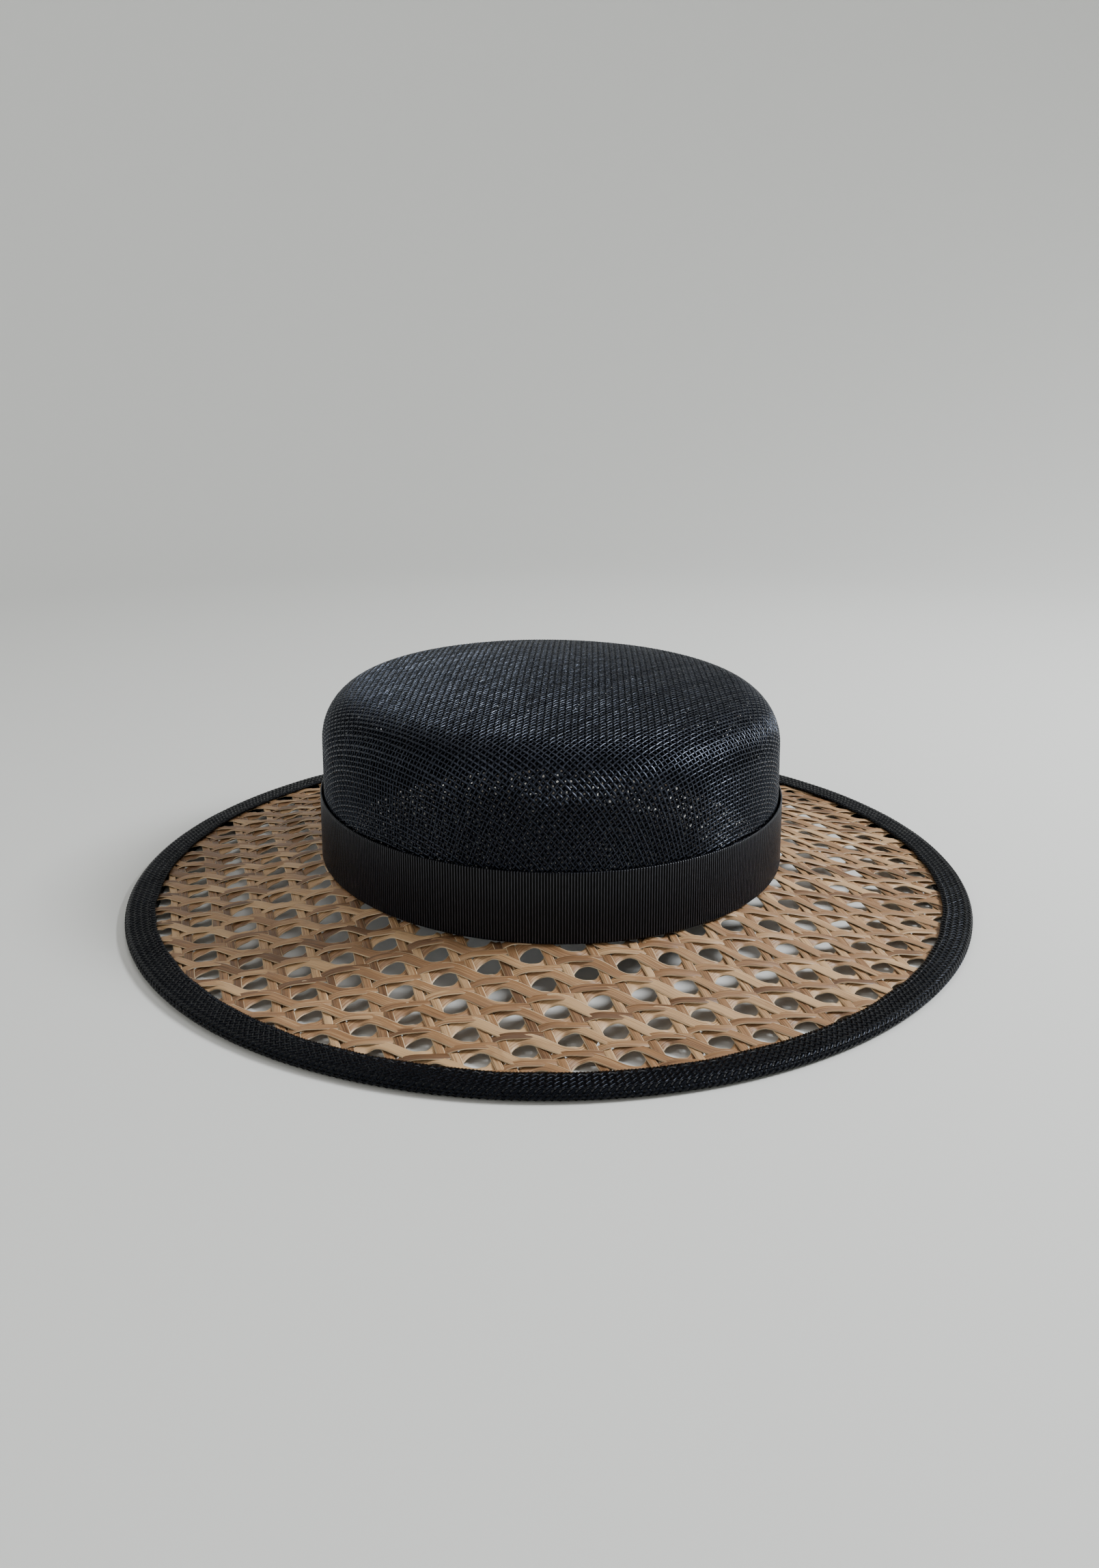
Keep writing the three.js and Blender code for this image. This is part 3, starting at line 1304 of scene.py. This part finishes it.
@dataclass
class EdgeBinding:
    """The strip of black cloth, cut on the bias and folded over the brim's edge, with its stitches."""

    form: HatForm
    effects: SharedEffects
    finish: BindingFinish = BindingFinish()
    thread_finish: ClothThreadFinish = ClothThreadFinish(
        "binding_threads", deep=(0.0010, 0.0010, 0.0013), worn=(0.0038, 0.0038, 0.0048), level=0.13)
    stitch_finish: StitchFinish = StitchFinish()
    wall: float = 0.95 * MM
    steps: int = 300
    leg_steps: int = 6
    fold_points: int = 9
    pitch: float = 1.6 * MM
    fill: float = 0.86
    half_depth: float = 0.10 * MM
    weave_lift: float = 0.08 * MM
    thread_drift: Wander = Wander(0.08 * MM, 12 * MM)
    thread_widths: Range = (0.9, 1.08)
    stitch_count: int = 224
    stitch_length: float = 2.6 * MM
    stitch_inset: float = 1.7 * MM
    stitch_arch: tuple[float, ...] = (-0.35 * MM, 0.04 * MM, -0.35 * MM)
    stitch_taper: tuple[float, ...] = (0.12 * MM, 0.20 * MM, 0.12 * MM)
    stitch_shift: float = 0.06
    stitch_slant: float = 0.4 * MM
    stitch_shade: float = 0.5
    stitch_grain: float = 0.01
    pucker: float = 0.16 * MM
    sway: float = 0.35 * MM
    waves: tuple[int, ...] = (9, 17, 31, 46)
    calm: float = 3.0
    seed: int = 37
    sway_phase: Array = field(init=False)
    lift_phase: Array = field(init=False)

    def __post_init__(self) -> None:
        """Settles where the soft puckers fall."""
        rng = np.random.default_rng(self.seed)
        self.sway_phase, self.lift_phase = rng.uniform(0, 2 * math.pi, (2, len(self.waves)))

    def round_edge(self) -> float:
        """The length of the strip that goes round the brim."""
        return 2 * math.pi * math.sqrt((self.form.edge ** 2 + self.form.edge_length ** 2) / 2)

    def folded_line(self, inset: float) -> Array:
        """A line across the folded strip, from its lower lip round the fold to its upper lip.

        Args:
            inset: how far the line lies inside the strip's outer face.

        Returns:
            Rows of half width and height.
        """
        half = self.form.binding_height / 2
        fold, reach = self.form.edge - half, half - inset
        rows = np.linspace(self.form.binding_start, fold, self.leg_steps, endpoint=False)
        angles = np.linspace(-math.pi / 2, math.pi / 2, self.fold_points)
        under = [(row, half - reach) for row in rows]
        bend = [(fold + reach * math.cos(angle), half + reach * math.sin(angle)) for angle in angles]
        over = [(row, half + reach) for row in rows[::-1]]
        return np.array(under + bend + over)

    def puckers(self, turn: Array, phases: Array) -> Array:
        """The strip's soft waves at each angle round the hat."""
        return sum(np.sin(n * turn + phase) for n, phase in zip(self.waves, phases)) / self.calm

    def settle(self, turn: Array, radius: Array, height: Array) -> tuple[Array, Array, Array]:
        """Carries points of the strip round the brim, with its soft puckers.

        Args:
            turn: the angle round the hat.
            radius: the half width at that place across the strip.
            height: the height at that place.

        Returns:
            The points across, along and up.
        """
        share = np.clip((self.form.edge - radius) / self.form.binding_width, 0, 1)
        out = radius + self.sway * self.puckers(turn, self.sway_phase) * share
        lift = self.pucker * (1 + self.puckers(turn, self.lift_phase)) * np.sin(math.pi * share)
        up = height + np.where(height > self.form.binding_height / 2, lift, 0)
        return out * np.cos(turn), self.form.half_length(out) * np.sin(turn), up

    def build_strip(self) -> Piece:
        """Builds the folded strip's under layer.

        Returns:
            The strip as one closed ring.
        """
        outer = self.folded_line(2 * self.weave_lift + self.half_depth / 2)
        outline = np.vstack([outer, self.folded_line(self.wall)[::-1]])

        def bend(turn: float, row: int) -> tuple[float, ...]:
            """Sets a corner of the outline on the puckered edge."""
            return tuple(float(part) for part in self.settle(turn, *outline[row]))

        return bent_ring("brim_binding_strip", outline, self.steps, self.round_edge(), bend)

    def build_threads(self) -> Piece:
        """Lays the crossing threads of the strip's outer face, slantwise to the edge.

        Returns:
            The threads as one piece.
        """
        rng = np.random.default_rng(self.seed + 2)
        line = self.folded_line(self.half_depth + self.weave_lift)
        reach = travelled(line)
        facing = np.gradient(line, reach, axis=0)
        length = self.round_edge()
        # An even number of threads, so that over and under meet all the way round
        count = 2 * round(length / self.pitch / math.sqrt(8))
        spacing = length / count
        crossings = np.arange(int(2 * reach[-1] / spacing) + 1)
        across = np.append(crossings * spacing / 2, reach[-1])
        over = np.append(np.where(crossings % 2 == 0, 1.0, -1.0), 0.0) * self.weave_lift
        radius, height = np.interp(across, reach, line[:, 0]), np.interp(across, reach, line[:, 1])
        out, up = np.interp(across, reach, facing[:, 1]), -np.interp(across, reach, facing[:, 0])
        strands = StrandSet(Section.RIDGE)
        for slant in (1, -1):
            rise = slant * over
            for thread in range(count):
                drift = self.thread_drift.along(rng, across)
                turn = 2 * math.pi * (thread * spacing + slant * across + drift) / length
                path = np.stack(self.settle(turn, radius + out * rise, height + up * rise), axis=1)
                normal = np.stack([out * np.cos(turn), out * np.sin(turn), up], axis=1)
                width = self.fill * self.pitch / 2 * rng.uniform(*self.thread_widths)
                tint = rng.uniform(*THREAD_SHADES)
                strands.add(path, normal, width, self.half_depth, tint, 0.0, rng.uniform(0, THREAD_GRAIN))
        return strands.build("brim_binding_threads")

    def build_stitches(self) -> Piece:
        """Sews one line of stitches on each face of the strip.

        Returns:
            The stitches as one piece.
        """
        rng = np.random.default_rng(self.seed + 1)
        strands = StrandSet(Section.STITCH)
        half = self.form.binding_height / 2
        radius = self.form.binding_start + self.stitch_inset
        arch, taper = np.array(self.stitch_arch), np.array(self.stitch_taper)
        share = np.linspace(-0.5, 0.5, len(arch))
        for face in Face:
            up = np.tile([0.0, 0.0, float(face.value)], (len(arch), 1))
            height = half + face.value * (half + arch - (taper if face is Face.UNDER else 0))
            for stitch in range(self.stitch_count):
                shift = rng.uniform(-self.stitch_shift, self.stitch_shift)
                turn = 2 * math.pi * (stitch + shift) / self.stitch_count
                turns = turn + share * self.stitch_length / radius
                slant = radius + share * rng.uniform(-self.stitch_slant, self.stitch_slant)
                path = np.stack(self.settle(turns, slant, height), axis=1)
                strands.add(path, up, taper, taper, self.stitch_shade, 0.0, self.stitch_grain * stitch)
        return strands.build("brim_binding_stitches")

    def build(self) -> list[Piece]:
        """Builds and dresses the binding.

        Returns:
            The folded strip, its threads and its stitches.
        """
        slot = "binding_cloth"
        strip = dress(self.build_strip(), self.finish.material(self.effects), slot, "brim_binding")
        threads = dress(self.build_threads(), self.thread_finish.material(self.effects), slot)
        stitches = dress(self.build_stitches(), self.stitch_finish.material(self.effects), slot)
        return [strip, threads, stitches]


@dataclass(frozen=True)
class Lamp:
    """A soft square lamp, placed in metres to the camera's right, behind the hat and up."""

    name: str
    place: tuple[float, float, float]
    size: float
    power: float
    colour: Colour


LAMPS = (
    Lamp("key", (0.98, 0.02, 0.88), size=0.34, power=25.0, colour=(0.94, 0.97, 1.0)),
    Lamp("fill", (-0.75, -0.75, 0.90), size=0.8, power=2.6, colour=(1.0, 0.97, 0.93)),
    Lamp("overhead", (0.0, 0.1, 1.45), size=0.9, power=5.6, colour=(1.0, 1.0, 1.0)),
)


@dataclass
class Studio:
    """A pale floor that curves up all round, soft lamps and the camera."""

    form: HatForm
    floor_finish: FloorFinish = FloorFinish()
    floor_radius: float = 1.5
    near_radius: float = 0.4
    bend_radius: float = 0.7
    bend_points: int = 14
    wall_height: float = 2.2
    floor_drop: float = 0.2 * MM
    floor_weld: float = 0.01 * MM
    round_steps: int = 96
    azimuth: float = -18.0
    elevation: float = 19.0
    distance: float = 0.468
    aim_share: float = 0.45
    lens: float = 27.3
    sensor: float = 36.0
    nearest: float = 10 * MM
    sky_colour: Colour = (0.93, 0.95, 1.0)
    sky_strength: float = 0.12

    def build_floor(self) -> Piece:
        """Builds the floor.

        Returns:
            The floor.
        """
        flat = self.floor_radius - self.bend_radius
        line = [(0.0, 0.0), (self.near_radius, 0.0), (flat, 0.0)]
        for angle in np.linspace(0, math.pi / 2, self.bend_points)[1:]:
            out, up = self.bend_radius * math.sin(angle), self.bend_radius * (1 - math.cos(angle))
            line.append((flat + out, up))
        line.append((self.floor_radius, self.wall_height))
        bowl = bmesh.new()
        corners = [bowl.verts.new((r, 0, z - self.floor_drop)) for r, z in line]
        edges = [bowl.edges.new(pair) for pair in zip(corners, corners[1:])]
        bmesh.ops.spin(bowl, geom=corners + edges, cent=(0, 0, 0), axis=(0, 0, 1), angle=2 * math.pi,
                       steps=self.round_steps, use_merge=True)
        bmesh.ops.remove_doubles(bowl, verts=bowl.verts, dist=self.floor_weld)
        bmesh.ops.recalc_face_normals(bowl, faces=bowl.faces)
        if min(bowl.faces, key=lambda face: face.calc_center_median().z).normal.z < 0:
            bmesh.ops.reverse_faces(bowl, faces=bowl.faces)
        for face in bowl.faces:
            face.smooth = True
        mesh = bpy.data.meshes.new("studio_floor")
        bowl.to_mesh(mesh)
        bowl.free()
        floor = link("studio_floor", mesh)
        floor.data.materials.append(self.floor_finish.material())
        return floor

    def add_lamp(self, lamp: Lamp) -> None:
        """Adds a lamp that faces the hat.

        Args:
            lamp: the lamp.
        """
        turn = math.radians(self.azimuth)
        right, back, up = lamp.place
        data = bpy.data.lights.new(lamp.name, "AREA")
        data.energy, data.size, data.color = lamp.power, lamp.size, lamp.colour
        placed = bpy.data.objects.new(lamp.name, data)
        placed.location = (right * math.cos(turn) - back * math.sin(turn),
                           right * math.sin(turn) + back * math.cos(turn), up)
        aim = Vector((0, 0, self.form.top_z / 2)) - placed.location
        placed.rotation_euler = aim.to_track_quat("-Z", "Y").to_euler()
        bpy.context.scene.collection.objects.link(placed)

    def add_camera(self) -> None:
        """Sets the camera at the photograph's angle round the hat, and above the floor."""
        turn, rise = math.radians(self.azimuth), math.radians(self.elevation)
        back = Vector((math.sin(turn) * math.cos(rise), -math.cos(turn) * math.cos(rise), math.sin(rise)))
        data = bpy.data.cameras.new("view")
        data.lens, data.sensor_width, data.clip_start = self.lens, self.sensor, self.nearest
        camera = bpy.data.objects.new("view", data)
        camera.location = Vector((0, 0, self.aim_share * self.form.top_z)) + back * self.distance
        camera.rotation_euler = (-back).to_track_quat("-Z", "Y").to_euler()
        bpy.context.scene.collection.objects.link(camera)
        bpy.context.scene.camera = camera

    def build(self) -> None:
        """Builds the floor, the camera, the lamps and the sky light."""
        self.build_floor()
        self.add_camera()
        for lamp in LAMPS:
            self.add_lamp(lamp)
        world = bpy.data.worlds.new("sky_light")
        world.use_nodes = True
        sky = world.node_tree.nodes["Background"]
        sky.inputs["Color"].default_value = (*self.sky_colour, 1.0)
        sky.inputs["Strength"].default_value = self.sky_strength
        bpy.context.scene.world = world


def main() -> None:
    """Builds the hat piece by piece, then its studio."""
    logging.basicConfig(level=logging.INFO, format="%(asctime)s %(message)s")
    form = HatForm()
    effects = SharedEffects()
    StrawBrim(form, effects).build()
    CrownCloth(form, effects).build()
    RibbedRibbon(form, effects, "crown_band", "crown_band_ribbon", "ribbed_ribbon", RibbonFinish(),
                 inner=0.45 * MM, outer=1.25 * MM, against="crown_outer_warp").build()
    RibbedRibbon(form, effects, "head_ribbon", "head_ribbon_band", "head_ribbon",
                 RibbonFinish(name="head_ribbon_cloth"), inner=-2.4 * MM, outer=-1.55 * MM,
                 against="crown_inner_ply", rib_depth=0.12 * MM, steps_per_rib=3).build()
    EdgeBinding(form, effects).build()
    Studio(form).build()


if __name__ == "__main__":
    main()
